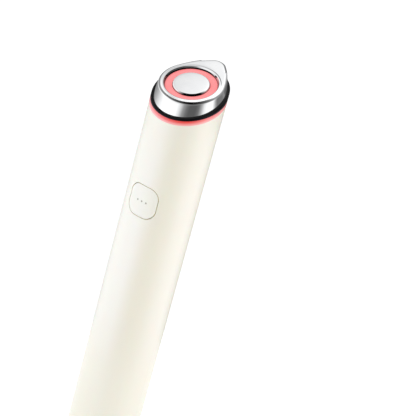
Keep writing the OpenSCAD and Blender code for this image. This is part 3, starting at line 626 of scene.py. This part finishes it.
def disc_rows(count):
    """The middle disc, faintly crowned, with a rounded edge."""
    turns = [2 * math.pi * i / count for i in range(count)]

    def circle(radius, depth):
        return [on_face(radius * math.cos(t), radius * math.sin(t), depth) for t in turns]

    flat_r = DISC_R - DISC_EDGE
    edge_drop = DISC_EDGE - DISC_CROWN
    rows = [circle(TIP_R, 0.0)]
    rows += [circle(flat_r * k / 8, DISC_CROWN * (k / 8) ** 2) for k in range(1, 9)]
    rows += [circle(flat_r + DISC_EDGE * math.sin(t), DISC_CROWN + edge_drop * (1 - math.cos(t)))
             for t in (math.pi / 2 * k / 8 for k in range(1, 9))]
    rows += [circle(DISC_R, DISC_BOTTOM), circle(STEM_R, DISC_BOTTOM), circle(STEM_R, STEM_BOTTOM),
             circle(TIP_R, STEM_BOTTOM)]
    return rows


mesh_piece("contact_disc", disc_rows(DISC_STEPS), "chrome", "root", ["inner_electrode"],
           closed=True, sharp=40)

head, painted_edge_tones = head_rows(HEAD_STEPS)
metal_head = mesh_piece("metal_head", head, "chrome", "root", ["outer_electrode"], closed=True)
# the painted dark reflection along the head's edge, stored as its point attribute edge
metal_head.data.attributes.new("edge", "FLOAT", "POINT").data.foreach_set("value", painted_edge_tones)


# Camera


def place_camera():
    """The camera at the photograph's viewing angle."""
    turn, rise = CAMERA_AZIMUTH, CAMERA_ELEVATION
    back = Vector((math.sin(turn) * math.cos(rise), -math.cos(turn) * math.cos(rise), math.sin(rise)))
    right = (-back).cross(Vector((0, 0, 1))).normalized()
    up = right.cross(-back)
    rolled_right = math.cos(CAMERA_ROLL) * right + math.sin(CAMERA_ROLL) * up
    rolled_up = math.cos(CAMERA_ROLL) * up - math.sin(CAMERA_ROLL) * right
    data = bpy.data.cameras.new("photo_camera")
    data.sensor_width = SENSOR
    data.lens = LENS
    data.clip_start = 0.01
    data.clip_end = 20
    camera = bpy.data.objects.new("photo_camera", data)
    bpy.context.scene.collection.objects.link(camera)
    place = Matrix((rolled_right, rolled_up, back)).transposed().to_4x4()
    place.translation = (CAMERA_TARGET + back * CAMERA_DISTANCE) * MM
    camera.matrix_world = place
    bpy.context.scene.camera = camera


# Floor and light

# Surround, its sizes in metres
SURROUND_R = 0.25
SURROUND_Z = 0.125
SURROUND_GAIN = 1.25
# Its brightness by turn from the button side, low down and higher up, then the heights between which the low part
# gives way to the high one, and that to the box overhead, all in degrees
AROUND = [(-180, 0.10), (-165, 0.14), (-130, 0.22), (-105, 0.28), (-86, 0.42), (-70, 0.66), (-56, 0.86),
          (-42, 0.95), (-2, 0.95), (8, 0.65), (17, 0.28), (27, 0.14), (36, 0.09), (54, 0.09), (64, 0.15), (73, 0.38),
          (82, 0.76), (92, 0.95), (110, 0.95), (121, 0.35), (128, 0.16), (150, 0.16), (160, 0.24), (168, 0.12),
          (180, 0.10)]
HIGH_AROUND = [(-180, 0.25), (-154, 0.3), (-142, 0.5), (-122, 0.6), (-100, 0.85), (-60, 0.9), (-30, 0.7), (0, 0.45),
               (40, 0.35), (72, 0.45), (96, 0.5), (120, 0.3), (150, 0.25), (180, 0.25)]
HIGH_EDGE = (-4, 14)
TOP_EDGE = (43, 51)
# Soft box overhead: its brightness grows along this direction
OVERHEAD_LEAN = Vector((0.896, 0.148, 0.419))
OVERHEAD_SPAN = (-0.13, 0.12)
OVERHEAD_TONE = (0.6, 1.0)
# The barrel's own surround, its sizes in metres, and its colours by turn
LOW_R = 0.09
LOW_H = 0.088
LOW_GAIN = 1.6
LOW_AROUND = [(-180, (0.2, 0.2, 0.2)), (-112, (0.4, 0.42, 0.45)), (-88, (0.8, 0.85, 1.0)), (-60, (0.9, 0.95, 1.3)),
              (-15, (0.95, 1.0, 1.45)), (5, (0.7, 0.7, 0.8)), (22, (0.38, 0.35, 0.22)), (45, (0.35, 0.32, 0.14)),
              (70, (0.5, 0.48, 0.44)), (100, (0.8, 0.8, 0.95)), (140, (0.8, 0.8, 0.95)), (165, (0.3, 0.3, 0.3)),
              (180, (0.2, 0.2, 0.2))]
# What the soft boxes look at, in metres
LIGHT_TARGET = Vector((0, 0, 0.08))


def floor():
    """Pale floor under the foot."""
    bpy.ops.mesh.primitive_plane_add(size=8, location=(0, 0, 0))
    plane = bpy.context.object
    plane.name = "floor"
    material, tree, shader, place = new_material("pale_floor")
    speckle = noise(tree, place, 0.01, 2.0)
    tree.links.new(ramp(tree, speckle, [(0.3, (0.93, 0.93, 0.93)), (0.7, (0.95, 0.95, 0.95))]),
                   shader.inputs["Base Color"])
    shader.inputs["Roughness"].default_value = 0.9
    shader.inputs["Specular IOR Level"].default_value = 0.0
    shader.inputs["Emission Color"].default_value = (1, 1, 1, 1)
    shader.inputs["Emission Strength"].default_value = 0.5
    plane.data.materials.append(material)


def glow_material(name):
    """A material that only gives light, its node tree and its Emission shader."""
    material = bpy.data.materials.new(name)
    material.use_nodes = True
    tree = material.node_tree
    tree.nodes.clear()
    output = tree.nodes.new("ShaderNodeOutputMaterial")
    glow = tree.nodes.new("ShaderNodeEmission")
    tree.links.new(glow.outputs["Emission"], output.inputs["Surface"])
    return material, tree, glow


def share_of_turn(tree, x, y):
    """Turn from the button side, as a share of a full turn from -180 to 180 degrees."""
    return math_node(tree, "ADD", math_node(tree, "DIVIDE", turn_from_front(tree, x, y), 2 * math.pi), 0.5)


def turn_stops(table):
    """A table of degrees and colours or brightnesses, as stops for share_of_turn."""
    return [((a + 180) / 360, v if isinstance(v, tuple) else (v, v, v)) for a, v in table]


def show_in_gloss_only(shell, material):
    """Gives a shell its material and lets nothing but reflections see it."""
    shell.data.materials.append(material)
    for seen in ("camera", "diffuse", "transmission", "volume_scatter", "shadow"):
        setattr(shell, "visible_" + seen, False)


def surround():
    """Ring of soft boxes and dark gaps round the object and a soft box overhead, seen only in its gloss."""
    bpy.ops.mesh.primitive_uv_sphere_add(segments=64, ring_count=32, radius=SURROUND_R, location=(0, 0, SURROUND_Z))
    dome = bpy.context.object
    dome.name = "surround"
    material, tree, glow = glow_material("surround")
    place = tree.nodes.new("ShaderNodeTexCoord")
    away = tree.nodes.new("ShaderNodeVectorMath")
    away.operation = "NORMALIZE"
    tree.links.new(place.outputs["Object"], away.inputs[0])
    x, y, z = axes(tree, away.outputs["Vector"])
    upward = math_node(tree, "DIVIDE", math_node(tree, "ARCSINE", z), math.radians(1))
    around = share_of_turn(tree, x, y)
    low, high = (ramp(tree, around, turn_stops(table)) for table in (AROUND, HIGH_AROUND))
    sides = mixed(tree, span(tree, upward, *HIGH_EDGE), low, high)
    lean = tree.nodes.new("ShaderNodeVectorMath")
    lean.operation = "DOT_PRODUCT"
    lean.inputs[1].default_value = OVERHEAD_LEAN
    tree.links.new(away.outputs["Vector"], lean.inputs[0])
    overhead = span(tree, lean.outputs["Value"], *OVERHEAD_SPAN, *OVERHEAD_TONE)
    tree.links.new(mixed(tree, span(tree, upward, *TOP_EDGE), sides, overhead), glow.inputs["Color"])
    glow.inputs["Strength"].default_value = SURROUND_GAIN
    show_in_gloss_only(dome, material)


def low_surround():
    """Ring of soft boxes with a dark gap in front, seen only in the barrel's gloss."""
    bpy.ops.mesh.primitive_cylinder_add(vertices=96, radius=LOW_R, depth=LOW_H, end_fill_type="NOTHING",
                                        location=(0, 0, LOW_H / 2))
    ring = bpy.context.object
    ring.name = "low_surround"
    material, tree, glow = glow_material("low_surround")
    place = tree.nodes.new("ShaderNodeTexCoord")
    x, y, z = axes(tree, place.outputs["Object"])
    tree.links.new(ramp(tree, share_of_turn(tree, x, y), turn_stops(LOW_AROUND)), glow.inputs["Color"])
    glow.inputs["Strength"].default_value = LOW_GAIN
    show_in_gloss_only(ring, material)


def area_light(name, azimuth, elevation, distance, width, height, power, colour):
    """Soft box that looks at LIGHT_TARGET: angles in degrees, turned as the camera's, sizes in metres, watts."""
    turn, rise = math.radians(azimuth), math.radians(elevation)
    away = Vector((math.sin(turn) * math.cos(rise), -math.cos(turn) * math.cos(rise), math.sin(rise)))
    data = bpy.data.lights.new(name, "AREA")
    data.shape = "RECTANGLE"
    data.size = width
    data.size_y = height
    data.color = colour
    data.energy = power
    light = bpy.data.objects.new(name, data)
    bpy.context.scene.collection.objects.link(light)
    light.location = LIGHT_TARGET + away * distance
    light.rotation_mode = "QUATERNION"
    light.rotation_quaternion = (-away).to_track_quat("-Z", "Y")


def studio():
    """White world, two soft boxes and a plain view transform."""
    world = bpy.data.worlds.new("studio")
    bpy.context.scene.world = world
    world.use_nodes = True
    background = world.node_tree.nodes["Background"]
    background.inputs["Color"].default_value = (1, 1, 1, 1)
    background.inputs["Strength"].default_value = 0.5
    area_light("left_box", -50, 25, 0.9, 0.5, 1.0, 2.4, (0.90, 0.96, 1.0))
    area_light("right_box", 105, 20, 0.9, 0.4, 1.0, 2.5, (1.0, 1.0, 1.0))
    view = bpy.context.scene.view_settings
    view.view_transform = "Standard"
    view.look = "None"


place_camera()
floor()
surround()
low_surround()
studio()
